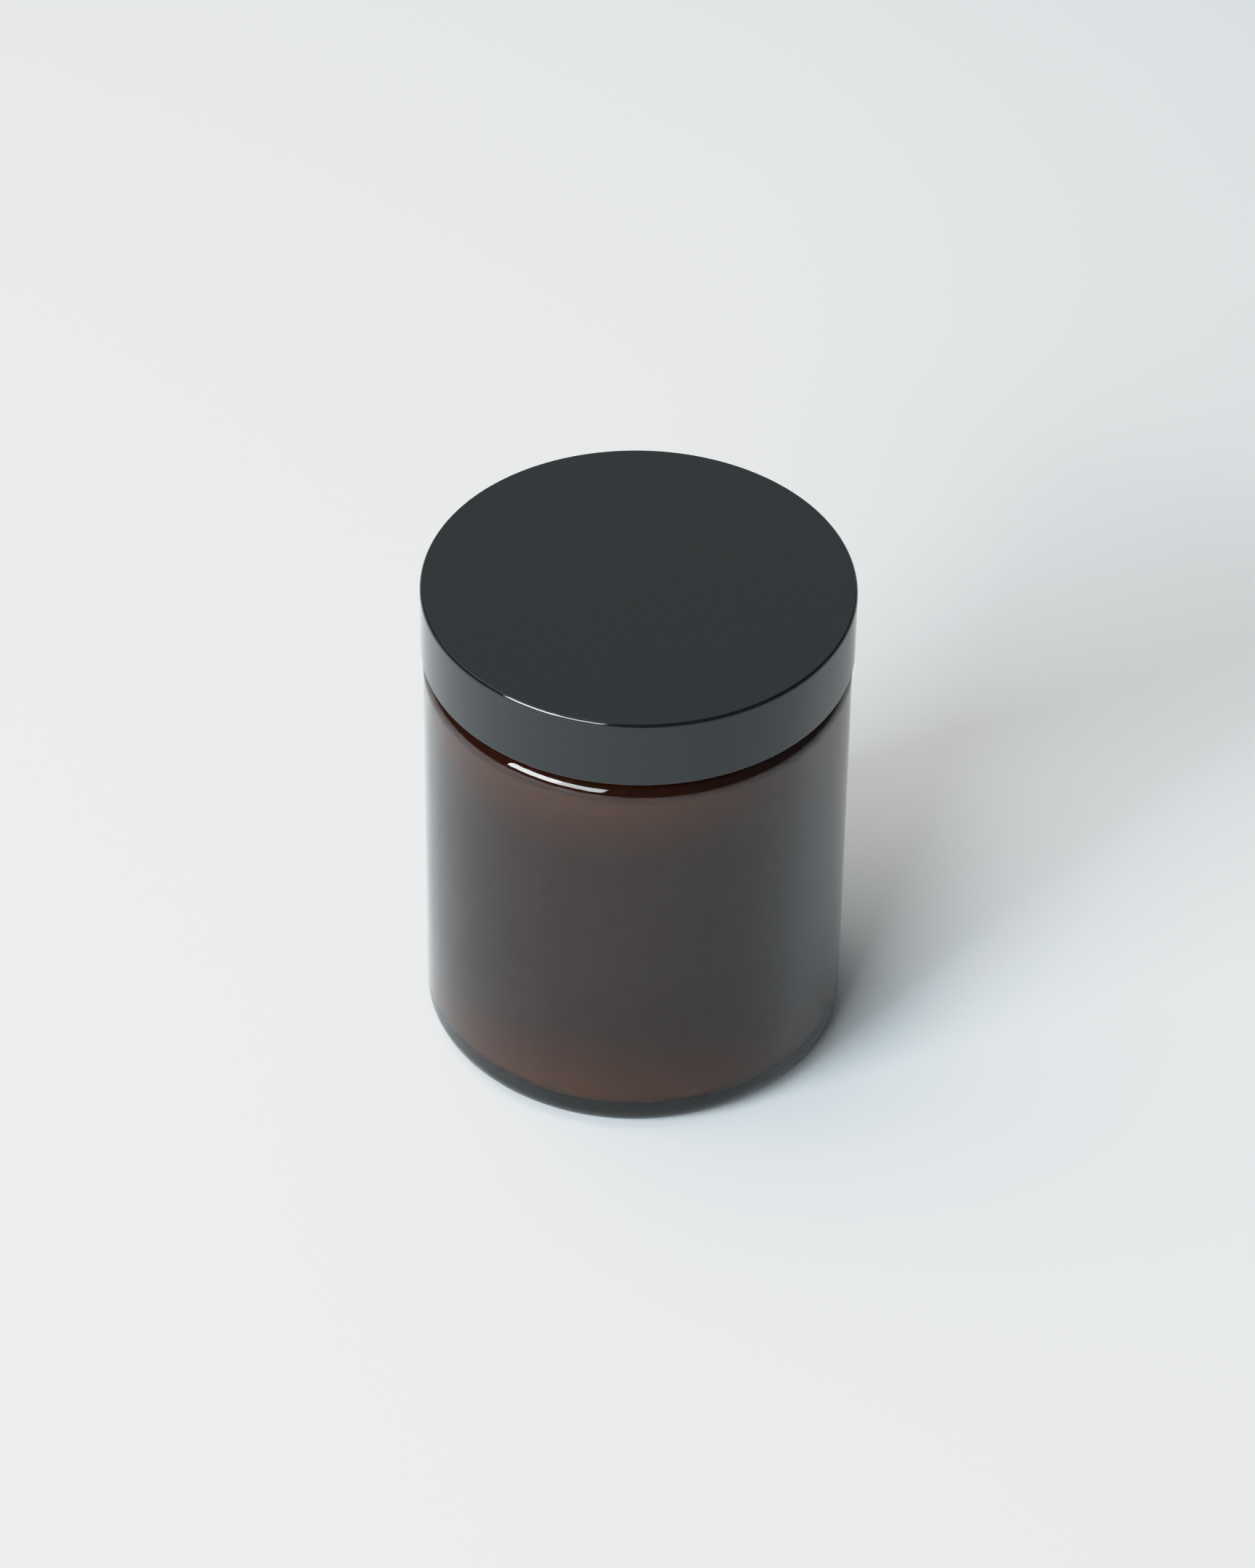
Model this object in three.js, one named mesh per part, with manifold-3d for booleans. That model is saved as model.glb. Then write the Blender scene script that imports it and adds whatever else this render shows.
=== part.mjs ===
// Cosmetic cream jar, about 250 ml: a straight-sided amber glass jar with a screw finish, a smooth
// black screw cap with a foam liner, a sealing disc with a pinch fin, and the cream inside.
// Millimetres, +Z up. The origin is on the jar's axis, in the plane that the jar stands on.

import * as THREE from "three";
import { mergeVertices } from "three/addons/utils/BufferGeometryUtils.js";
import Module from "manifold-3d";

// ---- Driving dimensions ----

const TOTAL_HEIGHT = 91.3; // from the table to the top of the closed cap
const CAP_RADIUS = 36.5;
const CAP_HEIGHT = 12.9;
const JAR_RADIUS = 36.15;
const SEGMENTS = 48; // facets round every turned piece

// Closed stack, from the top of the cap down to the lip of the jar
const CAP_TOP_THICKNESS = 1.5;
const LINER_THICKNESS = 1.0;
const DISC_THICKNESS = 0.7;
const REST_GAP = 0.3; // clearance between faces that rest on each other

// Glass
const WALL = 3.3; // over most of the height
const THIN_WALL = 2.1; // over the heel and under the shoulder
const WALL_EASE = 17; // height over which the thickness changes
const BASE_THICKNESS = 4.2;
const FLOOR_RISE = 0.3; // the inside floor is this much higher in the middle
const HEEL_RADIUS = 4.2;
const SHOULDER_RADIUS = 3.2;
const SHOULDER_TOP = 77.5; // height of the flat land round the neck
const INNER_CORNER_RADIUS = 2.5;
const PUNT_DEPTH = 1.3; // hollow under the base
const PUNT_EDGE = { width: 1.2, rise: 0.3 }; // its steep rim: width, and share of the depth
const PUNT_BEND = { out: 0.6, rise: 0.8 }; // where its slope eases, as shares of radius and depth
const BEARING_WIDTH = 2.6; // flat ring that the jar stands on
const MOUTH_RADIUS = 30.5;
const MOUTH_FOOT = SHOULDER_TOP - 1; // below this height the mouth widens to the body
const MOUTH_EASE = 4.0; // height over which it widens
const LIP_RADIUS = 0.8;
const INNER_LIP_RADIUS = 0.6;
const NECK_FILLET = 0.5;

// Screw finish, shared by jar and cap
const PITCH = 5.08;
const NECK_RADIUS = 33.4; // root of the jar's thread
const THREAD_DEPTH = 1.25;
const THREAD_CLEARANCE = 0.35; // radial, between crest and opposite root
const THREAD_BURY = 0.4; // how far a ridge reaches into the wall that carries it
const THREAD_FADE = THREE.MathUtils.degToRad(28); // run-out at each end of a ridge
const JAR_THREAD = { low: 79.9, high: 85.5, rootWidth: 2.2, crestWidth: 0.9 };
const CAP_THREAD = { low: 79.7, high: 85.9, rootWidth: 1.6, crestWidth: 0.7 };
const FLANK_GAP = 0.35; // along the axis, where the closed cap's ridge lies under the jar's

// Cap
const CAP_EDGE_RADIUS = 1.05;
const CAP_EDGE_SWEEP = 50; // degrees that the edge turns before it meets the flat top at a crisp line
const CAP_FOOT_RADIUS = 0.25;

// Liner and sealing disc
const LINER_RADIUS = 34.5;
const DISC_FLANGE_RADIUS = 33.0;
const DISC_PLUG_CLEARANCE = 0.3; // radial, between plug and mouth
const DISC_DISH_DEPTH = 5.0;
const DISC_PLUG_WALL = 0.9;
const DISC_CORNER_RADIUS = 1.2;
const FIN_LENGTH = 20;
const FIN_WIDTH = 1.2;
const FIN_BEAD_WIDTH = 2.2;
const FIN_BEAD_HEIGHT = 0.8;
const FIN_HEADROOM = 0.3; // below the rim of the dish

// Cream
const CREAM_LEVEL = 74.8; // at the wall, where the mouth already narrows
const CREAM_CROWN = 2.4; // height of the middle over the edge
const CREAM_BEND = { out: 0.62, rise: 0.8 }; // where the crown eases, as shares of radius and height
const CREAM_GAP = 0.35; // clearance to the glass

// ---- Heights and radii worked out from these ----

const CAP_FOOT = TOTAL_HEIGHT - CAP_HEIGHT;
const CAP_UNDERSIDE = TOTAL_HEIGHT - CAP_TOP_THICKNESS;
const LINER_TOP = CAP_UNDERSIDE - REST_GAP;
const LINER_BOTTOM = LINER_TOP - LINER_THICKNESS;
const DISC_TOP = LINER_BOTTOM - REST_GAP;
const DISC_FLANGE_BOTTOM = DISC_TOP - DISC_THICKNESS;
const LIP_TOP = DISC_FLANGE_BOTTOM - REST_GAP;
const INNER_RADIUS = JAR_RADIUS - THIN_WALL; // at both ends of the inside of the body
const CAP_INNER_RADIUS = NECK_RADIUS + THREAD_DEPTH + THREAD_CLEARANCE;

// ---- Helpers ----

const wasm = await Module();
wasm.setup();

/** A point of a turned outline or of a section. */
function at(x, y) {
  return new THREE.Vector2(x, y);
}

/** Points of an arc in the (radius, height) plane, angles in degrees from the radius axis. */
function arc(radius, centreR, centreZ, from, to, steps) {
  return Array.from({ length: steps + 1 }, (_, i) => {
    const angle = THREE.MathUtils.degToRad(from + ((to - from) * i) / steps);
    return at(centreR + radius * Math.cos(angle), centreZ + radius * Math.sin(angle));
  });
}

/** Points up the inside of the jar's body, at a clearance from the glass. */
function innerWall(clearance) {
  const low = BASE_THICKNESS + INNER_CORNER_RADIUS;
  const high = MOUTH_FOOT - MOUTH_EASE;
  const shares = [0, 0.25, 0.5, 0.75, 1];
  const radius = (t) =>
    INNER_RADIUS - clearance - (WALL - THIN_WALL) * THREE.MathUtils.smoothstep(t, 0, 1);
  const lower = shares.map((t) => at(radius(t), low + WALL_EASE * t));
  const upper = shares.map((t) => at(radius(t), high - WALL_EASE * t)).reverse();
  return [...lower, ...upper];
}

/** A turned geometry about Z, from an outline that runs anticlockwise in the (radius, height) plane. */
function turned(outline) {
  return new THREE.LatheGeometry(outline, SEGMENTS).rotateX(Math.PI / 2);
}

/** A three.js geometry as a manifold-3d solid. */
function solid(geometry) {
  const bare = geometry.clone();
  bare.deleteAttribute("normal");
  bare.deleteAttribute("uv");
  const merged = mergeVertices(bare, 1e-4);
  return new wasm.Manifold(
    new wasm.Mesh({
      numProp: 3,
      vertProperties: merged.attributes.position.array,
      triVerts: new Uint32Array(merged.index.array),
    }),
  );
}

/** A manifold-3d solid as a three.js geometry. */
function geometryOf(made) {
  const mesh = made.getMesh();
  const positions = new THREE.BufferAttribute(new Float32Array(mesh.vertProperties), 3);
  const geometry = new THREE.BufferGeometry().setAttribute("position", positions);
  geometry.setIndex(new THREE.BufferAttribute(new Uint32Array(mesh.triVerts), 1));
  geometry.computeVertexNormals();
  return geometry;
}

/** The same loose triangles, each turned round. */
function reversed(geometry) {
  const from = geometry.attributes.position;
  const flipped = geometry.clone();
  const to = flipped.attributes.position;
  for (let i = 0; i < from.count; i += 3) {
    to.setXYZ(i + 1, from.getX(i + 2), from.getY(i + 2), from.getZ(i + 2));
    to.setXYZ(i + 2, from.getX(i + 1), from.getY(i + 1), from.getZ(i + 1));
  }
  return flipped;
}

/**
 * One ridge of right-hand screw thread: a straight bar, wrapped round the axis as a helix.
 * side is +1 for a ridge that stands out from rootRadius and -1 for one that stands in.
 * Its lower end is at startAngle, and its crest sinks into the wall at both ends.
 */
function threadRidge(thread, rootRadius, side, startAngle) {
  const sweep = ((thread.high - thread.low) / PITCH) * 2 * Math.PI;
  const crest = thread.crestWidth / 2;
  const flankRun = (thread.rootWidth / 2 - crest) / THREAD_DEPTH;
  const base = thread.rootWidth / 2 + flankRun * THREAD_BURY;
  const section = new THREE.Shape([
    at(-base, -THREAD_BURY),
    at(base, -THREAD_BURY),
    at(crest, THREAD_DEPTH),
    at(-crest, THREAD_DEPTH),
  ]);
  const steps = Math.ceil((sweep / (2 * Math.PI)) * SEGMENTS);
  const bar = new THREE.ExtrudeGeometry(section, { depth: sweep, steps, bevelEnabled: false });
  const sunk = -THREAD_BURY / 2; // height of the crest at the very ends
  const p = bar.attributes.position;
  for (let i = 0; i < p.count; i++) {
    const along = p.getZ(i);
    const fade = Math.min(1, along / THREAD_FADE, (sweep - along) / THREAD_FADE);
    const rise = p.getY(i) > 0 ? THREE.MathUtils.lerp(sunk, p.getY(i), fade) : p.getY(i);
    const radius = rootRadius + side * rise;
    const angle = startAngle + along;
    const height = thread.low + (along / (2 * Math.PI)) * PITCH + p.getX(i);
    p.setXYZ(i, radius * Math.cos(angle), radius * Math.sin(angle), height);
  }
  const made = solid(bar);
  return made.volume() > 0 ? made : solid(reversed(bar));
}

/** A named mesh in its own material. */
function piece(name, geometry, color, roughness, extra = {}) {
  const material = new THREE.MeshStandardMaterial({ color, roughness, metalness: 0, ...extra });
  const mesh = new THREE.Mesh(geometry, material);
  mesh.name = name;
  return mesh;
}

// ---- Glass jar ----

function glassJar() {
  const standRadius = JAR_RADIUS - HEEL_RADIUS;
  const puntRadius = standRadius - BEARING_WIDTH;
  const lipCentre = LIP_TOP - INNER_LIP_RADIUS;
  const innerCentre = INNER_RADIUS - INNER_CORNER_RADIUS;
  const outline = [
    at(0, PUNT_DEPTH),
    at(puntRadius * PUNT_BEND.out, PUNT_DEPTH * PUNT_BEND.rise),
    at(puntRadius - PUNT_EDGE.width, PUNT_DEPTH * PUNT_EDGE.rise),
    at(puntRadius, 0),
    ...arc(HEEL_RADIUS, standRadius, HEEL_RADIUS, -90, 0, 5),
    ...arc(SHOULDER_RADIUS, JAR_RADIUS - SHOULDER_RADIUS, SHOULDER_TOP - SHOULDER_RADIUS, 0, 90, 5),
    ...arc(NECK_FILLET, NECK_RADIUS + NECK_FILLET, SHOULDER_TOP + NECK_FILLET, -90, -180, 2),
    ...arc(LIP_RADIUS, NECK_RADIUS - LIP_RADIUS, LIP_TOP - LIP_RADIUS, 0, 90, 3),
    ...arc(INNER_LIP_RADIUS, MOUTH_RADIUS + INNER_LIP_RADIUS, lipCentre, 90, 180, 2),
    at(MOUTH_RADIUS, MOUTH_FOOT),
    at((MOUTH_RADIUS + INNER_RADIUS) / 2, MOUTH_FOOT - MOUTH_EASE / 2),
    ...innerWall(0).slice(1).reverse(),
    ...arc(INNER_CORNER_RADIUS, innerCentre, BASE_THICKNESS + INNER_CORNER_RADIUS, 0, -90, 4),
    at(0, BASE_THICKNESS + FLOOR_RISE),
  ];
  return geometryOf(solid(turned(outline)).add(threadRidge(JAR_THREAD, NECK_RADIUS, 1, 0)));
}

// ---- Cap: one shell with its ridge of thread inside ----

/** Where the cap's ridge starts, so that at every angle it lies just under the jar's ridge. */
function capThreadStart() {
  const jarHalf = (JAR_THREAD.rootWidth + JAR_THREAD.crestWidth) / 4;
  const capHalf = (CAP_THREAD.rootWidth + CAP_THREAD.crestWidth) / 4;
  const jarHeight = CAP_THREAD.low + jarHalf + capHalf + FLANK_GAP;
  return ((jarHeight - JAR_THREAD.low) / PITCH) * 2 * Math.PI;
}

function cap() {
  const footCentre = CAP_RADIUS - CAP_FOOT_RADIUS;
  const edgeCentre = CAP_RADIUS - CAP_EDGE_RADIUS;
  const edgeRise = CAP_EDGE_RADIUS * Math.sin(THREE.MathUtils.degToRad(CAP_EDGE_SWEEP));
  const outline = [
    at(0, CAP_UNDERSIDE),
    at(CAP_INNER_RADIUS, CAP_UNDERSIDE),
    at(CAP_INNER_RADIUS, CAP_FOOT + CAP_FOOT_RADIUS),
    at(CAP_INNER_RADIUS + CAP_FOOT_RADIUS, CAP_FOOT),
    ...arc(CAP_FOOT_RADIUS, footCentre, CAP_FOOT + CAP_FOOT_RADIUS, -90, 0, 2),
    ...arc(CAP_EDGE_RADIUS, edgeCentre, TOTAL_HEIGHT - edgeRise, 0, CAP_EDGE_SWEEP, 4),
    at(0, TOTAL_HEIGHT),
  ];
  const ridge = threadRidge(CAP_THREAD, CAP_INNER_RADIUS, -1, capThreadStart());
  return geometryOf(solid(turned(outline)).add(ridge));
}

// ---- Foam liner: a plain disc between the cap and the sealing disc ----

function capLiner() {
  return turned([
    at(0, LINER_BOTTOM),
    at(LINER_RADIUS, LINER_BOTTOM),
    at(LINER_RADIUS, LINER_TOP),
    at(0, LINER_TOP),
  ]);
}

// ---- Sealing disc: flange on the lip, dished plug in the mouth, pinch fin across the dish ----

function sealingDisc() {
  const plugRadius = MOUTH_RADIUS - DISC_PLUG_CLEARANCE;
  const dishRadius = plugRadius - DISC_PLUG_WALL;
  const dishFloor = DISC_TOP - DISC_DISH_DEPTH;
  const plugFloor = dishFloor - DISC_THICKNESS;
  const outerCorner = DISC_CORNER_RADIUS;
  const innerCorner = DISC_CORNER_RADIUS - DISC_THICKNESS / 2;
  const outline = [
    at(0, plugFloor),
    ...arc(outerCorner, plugRadius - outerCorner, plugFloor + outerCorner, -90, 0, 3),
    at(plugRadius, DISC_FLANGE_BOTTOM),
    at(DISC_FLANGE_RADIUS, DISC_FLANGE_BOTTOM),
    at(DISC_FLANGE_RADIUS, DISC_TOP),
    at(dishRadius, DISC_TOP),
    ...arc(innerCorner, dishRadius - innerCorner, dishFloor + innerCorner, 0, -90, 3),
    at(0, dishFloor),
  ];
  return geometryOf(solid(turned(outline)).add(solid(pinchFin(dishFloor))));
}

/** The upright fin with a thicker bead along its top, standing on the floor of the dish. */
function pinchFin(dishFloor) {
  const foot = dishFloor - DISC_THICKNESS / 2;
  const top = DISC_TOP - FIN_HEADROOM;
  const beadFoot = top - FIN_BEAD_HEIGHT;
  const beadMiddle = top - FIN_BEAD_HEIGHT / 2;
  const section = new THREE.Shape([
    at(-FIN_WIDTH / 2, foot),
    at(FIN_WIDTH / 2, foot),
    at(FIN_WIDTH / 2, beadFoot),
    at(FIN_BEAD_WIDTH / 2, beadMiddle),
    at(FIN_WIDTH / 2, top),
    at(-FIN_WIDTH / 2, top),
    at(-FIN_BEAD_WIDTH / 2, beadMiddle),
    at(-FIN_WIDTH / 2, beadFoot),
  ]);
  const fin = new THREE.ExtrudeGeometry(section, { depth: FIN_LENGTH, bevelEnabled: false });
  return fin.translate(0, 0, -FIN_LENGTH / 2).rotateX(Math.PI / 2).rotateZ(Math.PI / 2);
}

// ---- Cream: fills the body of the jar, with a low crown ----

function cream() {
  const radius = INNER_RADIUS - CREAM_GAP;
  const bottom = BASE_THICKNESS + FLOOR_RISE + CREAM_GAP;
  const corner = INNER_CORNER_RADIUS;
  const easeFoot = MOUTH_FOOT - MOUTH_EASE - CREAM_GAP;
  const narrowing = ((INNER_RADIUS - MOUTH_RADIUS) * (CREAM_LEVEL - easeFoot)) / MOUTH_EASE;
  const topRadius = radius - narrowing;
  return turned([
    at(0, bottom),
    ...arc(corner, radius - corner, bottom + corner, -90, 0, 3),
    ...innerWall(CREAM_GAP).slice(1, -1),
    at(radius, easeFoot),
    at(topRadius, CREAM_LEVEL),
    at(topRadius * CREAM_BEND.out, CREAM_LEVEL + CREAM_CROWN * CREAM_BEND.rise),
    at(0, CREAM_LEVEL + CREAM_CROWN),
  ]);
}

// ---- Assembly ----

const jar = new THREE.Group();
jar.add(piece("glass_jar", glassJar(), 0x4a2312, 0.05, { transparent: true, opacity: 0.7 }));
jar.add(piece("cream", cream(), 0xf2ead9, 0.45));

const closure = new THREE.Group();
closure.add(piece("sealing_disc", sealingDisc(), 0xf4f4f0, 0.35));
closure.add(piece("cap_liner", capLiner(), 0xeeeeea, 0.8));
closure.add(piece("cap", cap(), 0x16191a, 0.25));

const creamJar = new THREE.Group();
creamJar.add(jar, closure);

export default creamJar;
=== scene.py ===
"""A cosmetic cream jar: dark amber glass, a black screw cap, a foam liner, a sealing disc and cream.

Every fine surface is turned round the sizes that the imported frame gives. Outlines are in millimetres,
and become metres when their mesh is made.
"""

import math

import bpy
import numpy as np
from mathutils import Matrix, Vector


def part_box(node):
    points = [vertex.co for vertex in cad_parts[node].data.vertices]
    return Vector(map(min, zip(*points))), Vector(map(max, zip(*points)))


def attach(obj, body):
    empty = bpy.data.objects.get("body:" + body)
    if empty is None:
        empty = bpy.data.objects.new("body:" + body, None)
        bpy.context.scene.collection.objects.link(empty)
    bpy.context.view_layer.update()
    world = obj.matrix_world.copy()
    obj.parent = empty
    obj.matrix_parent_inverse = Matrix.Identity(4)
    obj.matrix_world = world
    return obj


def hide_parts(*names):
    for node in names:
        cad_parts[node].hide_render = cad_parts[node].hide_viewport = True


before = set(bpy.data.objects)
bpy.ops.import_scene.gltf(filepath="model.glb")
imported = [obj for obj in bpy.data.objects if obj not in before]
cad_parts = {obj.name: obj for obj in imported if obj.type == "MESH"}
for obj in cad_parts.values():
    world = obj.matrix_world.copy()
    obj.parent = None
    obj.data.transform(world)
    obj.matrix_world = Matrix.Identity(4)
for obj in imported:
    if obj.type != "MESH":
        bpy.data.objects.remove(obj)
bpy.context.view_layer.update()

MM = 0.001
SEGMENTS = 256


def size_of(node):
    """(outer radius, lowest height, highest height) of a CAD node, in millimetres."""
    low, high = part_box(node)
    return high.x / MM, low.z / MM, high.z / MM


JAR_RADIUS, _, LIP_TOP = size_of("glass_jar")
CAP_RADIUS, CAP_FOOT, CAP_TOP = size_of("cap")
LINER_RADIUS, LINER_LOW, LINER_HIGH = size_of("cap_liner")
DISC_RADIUS, DISC_LOW, DISC_HIGH = size_of("sealing_disc")
CREAM_HIGH = size_of("cream")[2]

# Glass
WALL = 3.3
THIN_WALL = 2.1
WALL_EASE = 17.0
INNER_RADIUS = JAR_RADIUS - THIN_WALL
FLOOR_HEIGHT = 4.2
FLOOR_RISE = 0.3
HEEL_RADIUS = 4.2
SHOULDER_RADIUS = 3.2
SHOULDER_TOP = CAP_FOOT - 0.9
INNER_CORNER_RADIUS = 2.5
PUNT_DEPTH = 1.3
BEARING_WIDTH = 2.6
MOUTH_RADIUS = 30.5
MOUTH_FOOT = SHOULDER_TOP - 1
MOUTH_EASE = 4.0
NECK_FILLET = 0.5
LIP_RADIUS = 0.8
INNER_LIP_RADIUS = 0.6

# Cream
CREAM_CROWN = 2.4
CREAM_TOUCH = 0.03  # how far it reaches into the glass, so that no film of air shows between them
SWIRL_PITCH = 7.5
SWIRL_DEPTH = 1.2

# Screw finish
PITCH = 5.08
NECK_RADIUS = 33.4
THREAD_DEPTH = 1.25
THREAD_FADE = math.radians(28)
JAR_THREAD = {"low": 79.9, "high": 85.5, "root": 2.2, "crest": 0.9, "start": 0.0}
CAP_THREAD = {"low": 79.7, "high": 85.9, "root": 1.6, "crest": 0.7, "start": math.radians(106.3)}
THREAD_ROW = 0.16

# Cap
CAP_THICKNESS = 1.5
CAP_INNER_RADIUS = CAP_RADIUS - CAP_THICKNESS
CAP_INNER_CORNER = 0.6
CAP_EDGE_RADIUS = 1.05
CAP_EDGE_SWEEP = 50
CAP_FOOT_RADIUS = 0.25
CRISP = 0.02  # width over which the shading turns from the cap's edge to its flat top

# Liner and sealing disc
LINER_EDGE = 0.3
DISC_WALL = 0.7
DISC_EDGE = 0.2
DISC_CORNER = 1.2
DISC_INNER_CORNER = 0.85
PLUG_RADIUS = MOUTH_RADIUS - 0.3
DISH_RADIUS = PLUG_RADIUS - 0.9
FIN_LENGTH = 20.0
FIN_WIDTH = 1.2
FIN_BEAD_WIDTH = 2.2


# ---- Outlines ----

def arc(radius, centre, start, end, steps):
    """Points of an arc in the (radius, height) plane, with angles in degrees from the radius axis."""
    turns = np.radians(np.linspace(start, end, steps + 1))
    return [(centre[0] + radius * math.cos(t), centre[1] + radius * math.sin(t)) for t in turns]


def column(radius, low, high, row):
    """Points straight up or down at one radius, about one row apart."""
    count = max(1, round(abs(high - low) / row))
    return [(radius, z) for z in np.linspace(low, high, count + 1)]


def supported(outline, short=0.12):
    """The outline with a point close to each end of every long straight stretch, for clean shading."""
    points = [outline[0]]
    for a, b in zip(outline, outline[1:]):
        length = math.dist(a, b)
        if length < 1e-6:
            continue
        if length > 6 * short:
            for t in (short / length, 1 - short / length):
                points.append((a[0] + (b[0] - a[0]) * t, a[1] + (b[1] - a[1]) * t))
        points.append(b)
    return points


# ---- Meshes ----

def new_object(name, vertices, faces):
    """A smooth-shaded mesh object in the scene, from vertices in millimetres."""
    mesh = bpy.data.meshes.new(name)
    mesh.from_pydata((np.asarray(vertices) * MM).tolist(), [], faces)
    mesh.validate()
    mesh.shade_smooth()
    made = bpy.data.objects.new(name, mesh)
    bpy.context.scene.collection.objects.link(made)
    return made


def turned(name, outline, shape=None, segments=SEGMENTS):
    """A closed surface turned round Z. The outline starts and ends on the axis, and runs anticlockwise.

    shape(angle, radius, height) may move the points of each ring: it returns new radii and heights.
    """
    points = np.array(supported(outline))
    rings = points[1:-1]
    turns = np.linspace(0, 2 * math.pi, segments, endpoint=False)
    angle, radius = np.meshgrid(turns, rings[:, 0])
    height = np.repeat(rings[:, 1:], segments, axis=1)
    if shape:
        radius, height = shape(angle, radius, height)
    body = np.stack([radius * np.cos(angle), radius * np.sin(angle), height], -1).reshape(-1, 3)
    poles = np.array([[0, 0, points[0, 1]], [0, 0, points[-1, 1]]])
    first, last = len(body), len(body) + 1
    faces = []
    for j in range(segments):
        k = (j + 1) % segments
        faces.append((first, k, j))
        top = (len(rings) - 1) * segments
        faces.append((last, top + j, top + k))
        for i in range(len(rings) - 1):
            a, b = i * segments, (i + 1) * segments
            faces.append((a + j, a + k, b + k, b + j))
    return new_object(name, np.vstack([body, poles]), faces)


def smooth(t):
    t = np.clip(t, 0, 1)
    return t * t * (3 - 2 * t)


def mouth_wall(t):
    """A point of the inner wall where the body (t = 1) narrows to the mouth (t = 0)."""
    return MOUTH_RADIUS + (INNER_RADIUS - MOUTH_RADIUS) * smooth(t), MOUTH_FOOT - MOUTH_EASE * t


def thread_rise(angle, height, thread):
    """How far a right-hand ridge stands from its wall at each angle and height."""
    sweep = (thread["high"] - thread["low"]) / PITCH * 2 * math.pi
    rise = np.zeros_like(height)
    for turn in range(3):
        along = (angle - thread["start"]) % (2 * math.pi) + turn * 2 * math.pi
        middle = thread["low"] + along / (2 * math.pi) * PITCH
        flank = (thread["root"] - thread["crest"]) / 2
        across = smooth((thread["root"] / 2 - np.abs(height - middle)) / flank)
        fade = smooth(np.minimum(along, sweep - along) / THREAD_FADE)
        rise = np.maximum(rise, THREAD_DEPTH * across * fade)
    return rise


def inner_wall():
    """Points up the inside of the body: the glass is thinner over the heel and under the shoulder."""
    low, high = FLOOR_HEIGHT + INNER_CORNER_RADIUS, MOUTH_FOOT - MOUTH_EASE
    heights = np.linspace(low, high, 60)
    thicker = smooth(np.minimum(heights - low, high - heights) / WALL_EASE)
    return list(zip(INNER_RADIUS - (WALL - THIN_WALL) * thicker, heights))


# ---- The pieces ----

def glass_jar():
    """The jar, with a punt and a flat bearing ring below and one ridge of thread on its neck."""
    stand = JAR_RADIUS - HEEL_RADIUS
    punt = stand - BEARING_WIDTH
    neck_low = SHOULDER_TOP + NECK_FILLET
    neck_high = LIP_TOP - LIP_RADIUS
    inner_corner = (INNER_RADIUS - INNER_CORNER_RADIUS, FLOOR_HEIGHT + INNER_CORNER_RADIUS)
    inner_lip = (MOUTH_RADIUS + INNER_LIP_RADIUS, LIP_TOP - INNER_LIP_RADIUS)
    hollow = [(punt * t, PUNT_DEPTH * (1 - smooth((t - 0.45) / 0.55))) for t in np.linspace(0.2, 0.99, 12)]
    outline = [
        (0, PUNT_DEPTH),
        *hollow,
        (punt, 0),
        *arc(HEEL_RADIUS, (stand, HEEL_RADIUS), -90, 0, 16),
        *arc(SHOULDER_RADIUS, (JAR_RADIUS - SHOULDER_RADIUS, SHOULDER_TOP - SHOULDER_RADIUS), 0, 90, 18),
        *arc(NECK_FILLET, (NECK_RADIUS + NECK_FILLET, neck_low), -90, -180, 5),
        *column(NECK_RADIUS, neck_low, neck_high, THREAD_ROW)[1:],
        *arc(LIP_RADIUS, (NECK_RADIUS - LIP_RADIUS, neck_high), 0, 90, 6),
        *arc(INNER_LIP_RADIUS, inner_lip, 90, 180, 6),
        (MOUTH_RADIUS, MOUTH_FOOT),
        *[mouth_wall(t) for t in np.linspace(0.08, 1, 12)],
        *inner_wall()[-2:0:-1],
        *arc(INNER_CORNER_RADIUS, inner_corner, 0, -90, 10),
        (0, FLOOR_HEIGHT + FLOOR_RISE),
    ]

    def threaded(angle, radius, height):
        on_neck = (np.abs(radius - NECK_RADIUS) < 0.01) & (height > SHOULDER_TOP)
        return radius + np.where(on_neck, thread_rise(angle, height, JAR_THREAD), 0), height

    return turned("jar_glass", outline, threaded)


def cap_shell():
    """The cap: a plain drum whose round edge meets the flat top at a crisp line, with its thread inside."""
    under = CAP_TOP - CAP_THICKNESS
    thread_low = CAP_FOOT + CAP_FOOT_RADIUS
    edge_low = CAP_TOP - CAP_EDGE_RADIUS * math.sin(math.radians(CAP_EDGE_SWEEP))
    edge = arc(CAP_EDGE_RADIUS, (CAP_RADIUS - CAP_EDGE_RADIUS, edge_low), 0, CAP_EDGE_SWEEP, 14)
    corner = (CAP_INNER_RADIUS - CAP_INNER_CORNER, under - CAP_INNER_CORNER)
    outline = [
        (0, under),
        (corner[0], under),
        *arc(CAP_INNER_CORNER, corner, 90, 0, 5),
        *column(CAP_INNER_RADIUS, corner[1], thread_low, THREAD_ROW)[1:],
        (CAP_INNER_RADIUS + CAP_FOOT_RADIUS, CAP_FOOT),
        *arc(CAP_FOOT_RADIUS, (CAP_RADIUS - CAP_FOOT_RADIUS, CAP_FOOT + CAP_FOOT_RADIUS), -90, 0, 6),
        *edge,
        (edge[-1][0] - CRISP, CAP_TOP),
        (0, CAP_TOP),
    ]

    def threaded(angle, radius, height):
        inside = (np.abs(radius - CAP_INNER_RADIUS) < 0.01) & (height < under)
        return radius - np.where(inside, thread_rise(angle, height, CAP_THREAD), 0), height

    return turned("cap_shell", outline, threaded)


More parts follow.
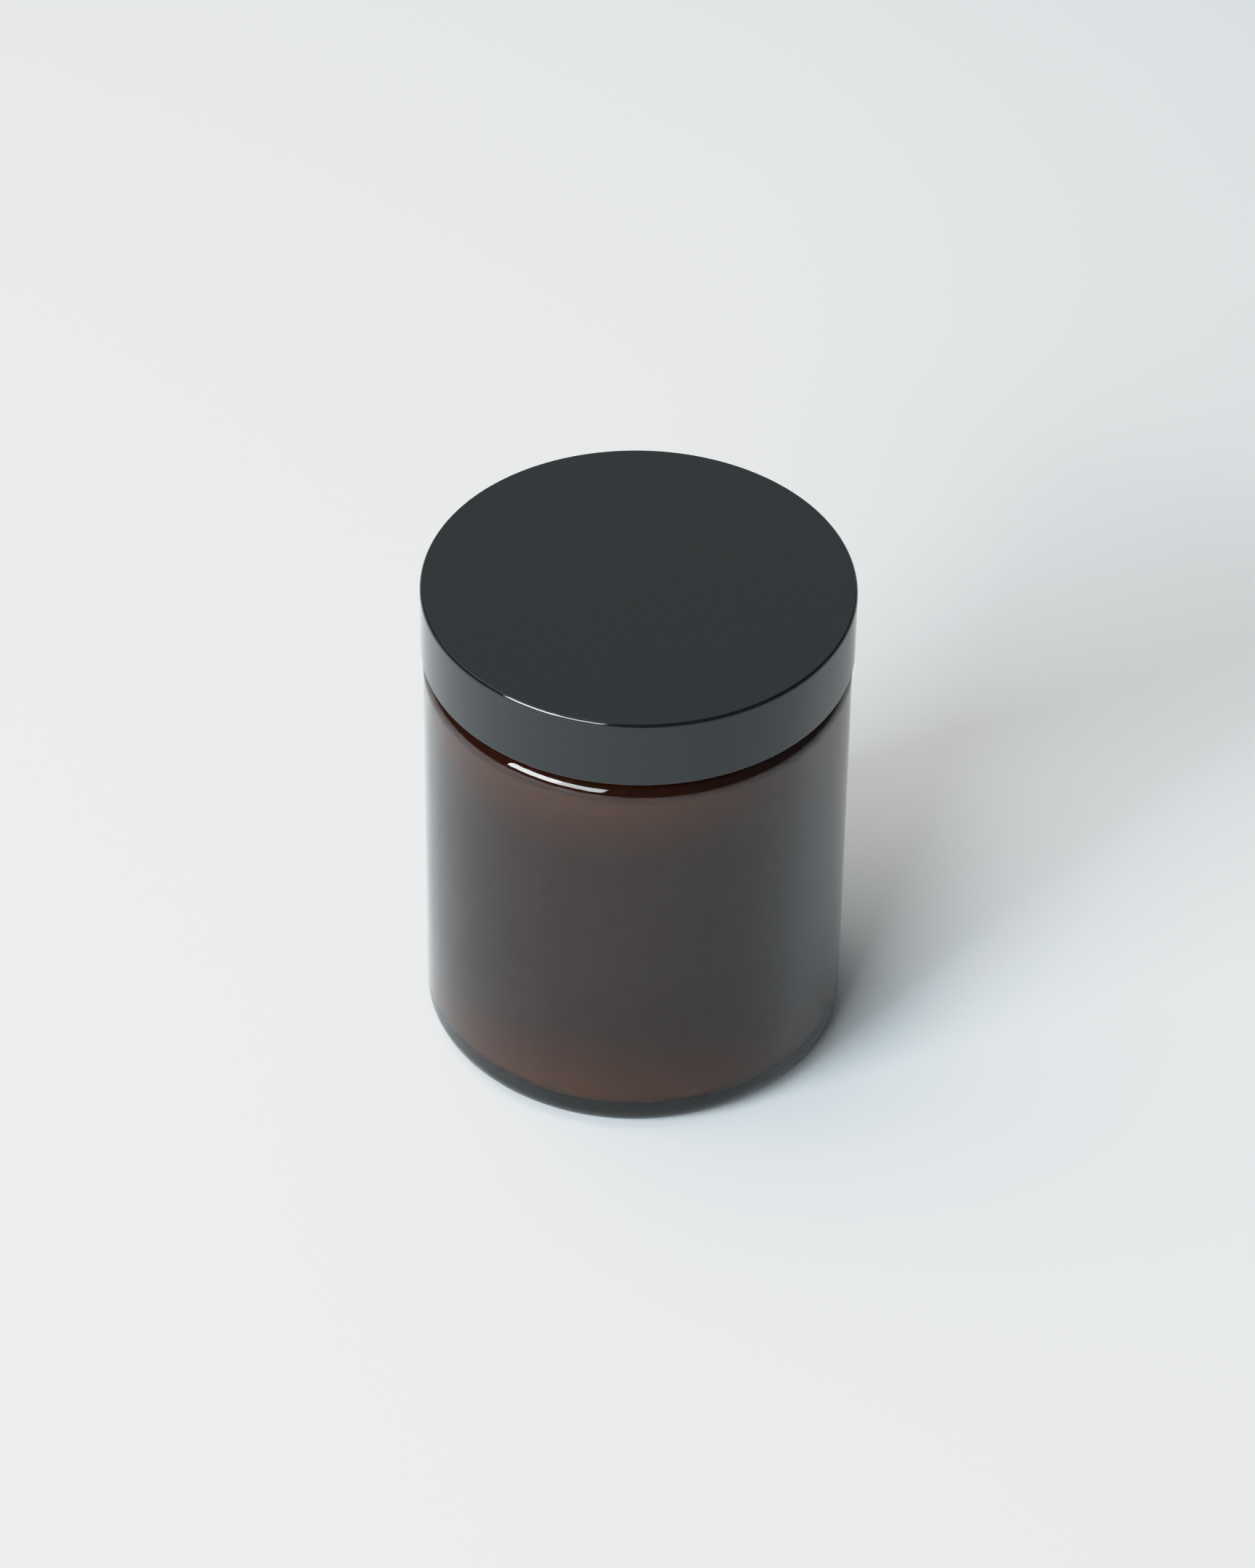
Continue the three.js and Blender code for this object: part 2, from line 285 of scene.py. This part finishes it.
def liner():
    """The foam liner, with soft edges."""
    r = LINER_RADIUS - LINER_EDGE
    outline = [
        (0, LINER_LOW),
        *arc(LINER_EDGE, (r, LINER_LOW + LINER_EDGE), -90, 0, 5),
        *arc(LINER_EDGE, (r, LINER_HIGH - LINER_EDGE), 0, 90, 5),
        (0, LINER_HIGH),
    ]
    return turned("liner_foam", outline)


def cream():
    """The cream: it fills the jar against the glass, and its top is a shallow spiral swirl."""
    radius = INNER_RADIUS + CREAM_TOUCH
    corner = INNER_CORNER_RADIUS
    floor = FLOOR_HEIGHT - CREAM_TOUCH
    level = CREAM_HIGH - CREAM_CROWN
    narrowing = np.linspace(1, (MOUTH_FOOT - level) / MOUTH_EASE, 10)
    top_radius = mouth_wall(narrowing[-1])[0] + CREAM_TOUCH
    outline = [
        (0, floor + FLOOR_RISE),
        *arc(corner, (radius - corner, floor + corner), -90, 0, 8),
        *[(r + CREAM_TOUCH, z) for r, z in inner_wall()[1:-1]],
        *[(mouth_wall(t)[0] + CREAM_TOUCH, mouth_wall(t)[1]) for t in narrowing[:-1]],
        *[(top_radius * t, level) for t in np.linspace(1, 0.012, 90)],
        (0, CREAM_HIGH - 0.05),
    ]

    def swirled(angle, r, z):
        share = r / top_radius
        crown = (CREAM_CROWN - 0.1) * (1 - np.clip(share, 0, 1) ** 1.6)
        turn = r / SWIRL_PITCH - angle / (2 * math.pi)
        ridge = 0.5 - 0.5 * np.cos(2 * math.pi * turn)
        dip = SWIRL_DEPTH * ridge * smooth(share / 0.12) * smooth((1 - share) / 0.18)
        on_top = z > level - 1e-6
        return r, np.where(on_top, level + crown - dip, z)

    return turned("cream_fill", outline, swirled)


def sealing_disc():
    """The sealing disc: flange, dished plug and fin, in one piece."""
    floor = DISC_LOW + DISC_WALL
    flange_low = DISC_HIGH - DISC_WALL
    rim = DISC_RADIUS - DISC_EDGE
    outline = [
        (0, DISC_LOW),
        *arc(DISC_CORNER, (PLUG_RADIUS - DISC_CORNER, DISC_LOW + DISC_CORNER), -90, 0, 8),
        (PLUG_RADIUS, flange_low),
        *arc(DISC_EDGE, (rim, flange_low + DISC_EDGE), -90, 0, 4),
        *arc(DISC_EDGE, (rim, DISC_HIGH - DISC_EDGE), 0, 90, 4),
        *arc(DISC_EDGE, (DISH_RADIUS + DISC_EDGE, DISC_HIGH - DISC_EDGE), 90, 180, 4),
        *arc(DISC_INNER_CORNER, (DISH_RADIUS - DISC_INNER_CORNER, floor + DISC_INNER_CORNER), 0, -90, 8),
        (0, floor),
    ]
    return united(turned("disc_seal", outline), fin(floor))


def fin(floor):
    """The fin, a thin blade with a bead along its top and round ends."""
    top = DISC_HIGH - 0.3
    section = [(-0.5, floor - 0.35), (0.5, floor - 0.35), (0.5, top - 1.4), (0.92, top - 0.75),
               (0.85, top - 0.25), (0.35, top), (-0.35, top), (-0.85, top - 0.25), (-0.92, top - 0.75),
               (-0.5, top - 1.4)]
    stations = np.linspace(-1, 1, 21)
    vertices, faces = [], []
    for s in stations:
        narrow = math.sqrt(max(1 - abs(s) ** 9, 0.02))
        for across, up in section:
            width = across * (FIN_BEAD_WIDTH / 2 / 0.92 if abs(across) > 0.6 else FIN_WIDTH) * narrow
            vertices.append((s * FIN_LENGTH / 2, width, up))
    n = len(section)
    for i in range(len(stations) - 1):
        for j in range(n):
            k = (j + 1) % n
            faces.append((i * n + j, i * n + k, (i + 1) * n + k, (i + 1) * n + j))
    faces.append(tuple(range(n))[::-1])
    faces.append(tuple((len(stations) - 1) * n + j for j in range(n)))
    return new_object("fin", vertices, faces)


def united(base, tool):
    """base with tool joined to it as one closed mesh; tool is removed."""
    join = base.modifiers.new("join", "BOOLEAN")
    join.operation = "UNION"
    join.solver = "EXACT"
    join.object = tool
    joined = bpy.data.meshes.new_from_object(base.evaluated_get(bpy.context.evaluated_depsgraph_get()))
    base.modifiers.clear()
    base.data = joined
    bpy.data.objects.remove(tool)
    return base


# ---- Materials ----

class Nodes:
    """A new material's node tree, with short calls for the nodes that the materials here use."""

    def __init__(self, name):
        self.material = bpy.data.materials.new(name)
        self.material.use_nodes = True
        self.tree = self.material.node_tree
        self.shader = self.tree.nodes["Principled BSDF"]
        self.place = self.tree.nodes.new("ShaderNodeTexCoord").outputs["Object"]

    def set(self, **values):
        for name, value in values.items():
            self.shader.inputs[name.replace("_", " ")].default_value = value

    def link(self, output, socket):
        self.tree.links.new(output, socket)

    def noise(self, per_metre, detail=3.0):
        node = self.tree.nodes.new("ShaderNodeTexNoise")
        node.inputs["Scale"].default_value = per_metre
        node.inputs["Detail"].default_value = detail
        node.inputs["Roughness"].default_value = 0.5
        self.link(self.place, node.inputs["Vector"])
        return node.outputs["Fac"]

    def cells(self, per_metre):
        node = self.tree.nodes.new("ShaderNodeTexVoronoi")
        node.inputs["Scale"].default_value = per_metre
        self.link(self.place, node.inputs["Vector"])
        return node.outputs["Distance"]

    def spread(self, value, low, high, start=0.35, end=0.65):
        node = self.tree.nodes.new("ShaderNodeMapRange")
        for name, number in (("From Min", start), ("From Max", end), ("To Min", low), ("To Max", high)):
            node.inputs[name].default_value = number
        self.link(value, node.inputs["Value"])
        return node.outputs["Result"]

    def colours(self, value, first, second):
        node = self.tree.nodes.new("ShaderNodeValToRGB")
        node.color_ramp.elements[0].position = 0.35
        node.color_ramp.elements[0].color = (*first, 1)
        node.color_ramp.elements[1].position = 0.65
        node.color_ramp.elements[1].color = (*second, 1)
        self.link(value, node.inputs["Fac"])
        return node.outputs["Color"]

    def bump(self, value, height_mm):
        node = self.tree.nodes.new("ShaderNodeBump")
        node.inputs["Distance"].default_value = height_mm * MM
        node.inputs["Strength"].default_value = 1.0
        self.link(value, node.inputs["Height"])
        self.link(node.outputs["Normal"], self.shader.inputs["Normal"])


def amber_glass():
    """Dark amber glass, coloured through its thickness, with the faint waviness of moulded glass."""
    n = Nodes("amber_glass")
    n.set(Base_Color=(1, 1, 1, 1), Transmission_Weight=1.0, IOR=1.52)
    n.link(n.spread(n.noise(160), 0.0, 0.012), n.shader.inputs["Roughness"])
    n.bump(n.noise(30, detail=0.0), 0.0015)
    absorb = n.tree.nodes.new("ShaderNodeVolumeAbsorption")
    absorb.inputs["Color"].default_value = (0.58, 0.36, 0.06, 1)
    absorb.inputs["Density"].default_value = 1180
    n.link(absorb.outputs["Volume"], n.tree.nodes["Material Output"].inputs["Volume"])
    return n.material


def cap_plastic():
    """Black moulded plastic, glossy, with a very fine haze and a trace of moulding texture."""
    n = Nodes("cap_plastic")
    n.set(IOR=1.5)
    n.link(n.colours(n.noise(900), (0.0030, 0.0052, 0.0060), (0.0045, 0.0070, 0.0078)),
           n.shader.inputs["Base Color"])
    n.link(n.spread(n.noise(2600, detail=2), 0.07, 0.11), n.shader.inputs["Roughness"])
    n.bump(n.noise(3200, detail=2), 0.0006)
    return n.material


def cream_material():
    """Thick ivory cream with a soft satin surface."""
    n = Nodes("cream")
    n.set(IOR=1.45, Subsurface_Weight=0.25, Subsurface_Scale=0.002)
    n.link(n.colours(n.noise(220), (0.822, 0.757, 0.652), (0.838, 0.773, 0.668)),
           n.shader.inputs["Base Color"])
    n.link(n.spread(n.noise(500), 0.32, 0.46), n.shader.inputs["Roughness"])
    n.bump(n.noise(900), 0.02)
    return n.material


def disc_plastic():
    """White translucent polypropylene with a fine moulded satin."""
    n = Nodes("disc_plastic")
    n.set(IOR=1.49, Subsurface_Weight=0.3, Subsurface_Scale=0.001)
    n.link(n.colours(n.noise(300), (0.78, 0.78, 0.76), (0.83, 0.83, 0.81)), n.shader.inputs["Base Color"])
    n.link(n.spread(n.noise(2000), 0.28, 0.42), n.shader.inputs["Roughness"])
    n.bump(n.noise(2600), 0.002)
    return n.material


def liner_material():
    """Expanded polyethylene foam: closed cells a fraction of a millimetre across."""
    n = Nodes("liner_foam")
    n.set(IOR=1.4)
    cells = n.cells(2600)
    n.link(n.colours(cells, (0.66, 0.66, 0.63), (0.80, 0.80, 0.77)), n.shader.inputs["Base Color"])
    n.link(n.spread(n.noise(1500), 0.7, 0.9), n.shader.inputs["Roughness"])
    n.bump(cells, 0.05)
    return n.material


# ---- Set, light and camera ----

def floor():
    """A plain pale floor."""
    reach = 6000
    made = new_object("floor", [(-reach, -reach, 0), (reach, -reach, 0), (reach, reach, 0),
                                (-reach, reach, 0)], [(0, 1, 2, 3)])
    n = Nodes("floor")
    n.set(Roughness=0.9, Specular_IOR_Level=0.1)
    n.link(n.colours(n.noise(3), (0.785, 0.83, 0.865), (0.795, 0.84, 0.875)), n.shader.inputs["Base Color"])
    made.data.materials.append(n.material)


def softbox(name, azimuth, elevation, distance, size, radiance, colour=(1, 1, 1)):
    """A rectangular light that faces the jar. azimuth is in degrees from -Y, positive towards +X."""
    light = bpy.data.lights.new(name, "AREA")
    light.shape = "RECTANGLE"
    light.size, light.size_y = size
    light.energy = radiance * math.pi * size[0] * size[1]
    light.color = colour
    made = bpy.data.objects.new(name, light)
    a, e = math.radians(azimuth), math.radians(elevation)
    towards = Vector((math.cos(e) * math.sin(a), -math.cos(e) * math.cos(a), math.sin(e)))
    made.location = towards * distance + Vector((0, 0, 0.045))
    made.rotation_euler = towards.to_track_quat("Z", "Y").to_euler()
    bpy.context.scene.collection.objects.link(made)


def surroundings(colour, strength):
    """The dim room round the set."""
    world = bpy.data.worlds.new("room")
    world.use_nodes = True
    background = world.node_tree.nodes["Background"]
    background.inputs["Color"].default_value = (*colour, 1)
    background.inputs["Strength"].default_value = strength
    bpy.context.scene.world = world


def camera():
    """The camera looks down on the jar from the front, from about a metre away."""
    radius = CAP_RADIUS * MM
    pitch, yaw, roll = math.radians(40.949), math.radians(-0.1033), math.radians(0.788)
    ahead = Vector((math.sin(yaw) * math.cos(pitch), math.cos(yaw) * math.cos(pitch), -math.sin(pitch)))
    right = ahead.cross(Vector((0, 0, 1))).normalized()
    up = right.cross(ahead)
    rolled_right = right * math.cos(roll) + up * math.sin(roll)
    rolled_up = up * math.cos(roll) - right * math.sin(roll)
    data = bpy.data.cameras.new("camera")
    data.sensor_width = 36.0
    data.lens = 139.22
    data.clip_start, data.clip_end = 0.01, 50
    made = bpy.data.objects.new("camera", data)
    turn = Matrix((rolled_right, rolled_up, -ahead)).transposed()
    made.matrix_world = Matrix.Translation((0, -21.48 * radius, 19.93 * radius)) @ turn.to_4x4()
    bpy.context.scene.collection.objects.link(made)
    bpy.context.scene.camera = made


def look():
    """A plain display transform with a soft shoulder, so that the pale floor keeps its tone."""
    view = bpy.context.scene.view_settings
    view.view_transform = "Standard"
    view.look = "None"
    view.use_curve_mapping = True
    curves = view.curve_mapping
    brightest = 4.0
    curves.white_level = (brightest, brightest, brightest)
    combined = curves.curves[3]
    combined.points[0].location = (0, 0)
    combined.points[-1].location = (1, 1)
    tones = ((0.25, 0.26), (0.42, 0.45), (0.6, 0.65), (0.82, 0.79), (1.15, 0.85), (1.8, 0.885))
    for radiance, shown in tones:
        combined.points.new(radiance / brightest, shown)
    curves.update()


# ---- Assembly ----

def place(made, body, node, material):
    """The piece rides on its body, stands for its CAD node, and takes its material and slot."""
    made.data.materials.clear()
    made.data.materials.append(material)
    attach(made, body)
    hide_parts(node)
    return made


camera()
floor()
surroundings((1.0, 0.97, 0.95), 0.10)
softbox("window_left", -52, 25, 1.2, (0.51, 0.435), 20.5, (0.90, 0.975, 1.0))
softbox("window_right", -28.3, 25, 1.2, (0.51, 0.435), 12, (0.90, 0.975, 1.0))
softbox("ceiling", -115, 66, 0.64, (0.54, 0.54), 3.1, (1.0, 0.93, 0.87))
softbox("back_fill", 180, 42, 4.0, (6.0, 3.4), 0.45, (0.85, 0.97, 1.0))
look()

place(glass_jar(), "jar", "glass_jar", amber_glass())
place(cream(), "jar", "cream", cream_material())
place(sealing_disc(), "seal", "sealing_disc", disc_plastic())
place(liner(), "seal", "cap_liner", liner_material())
place(cap_shell(), "cap", "cap", cap_plastic())
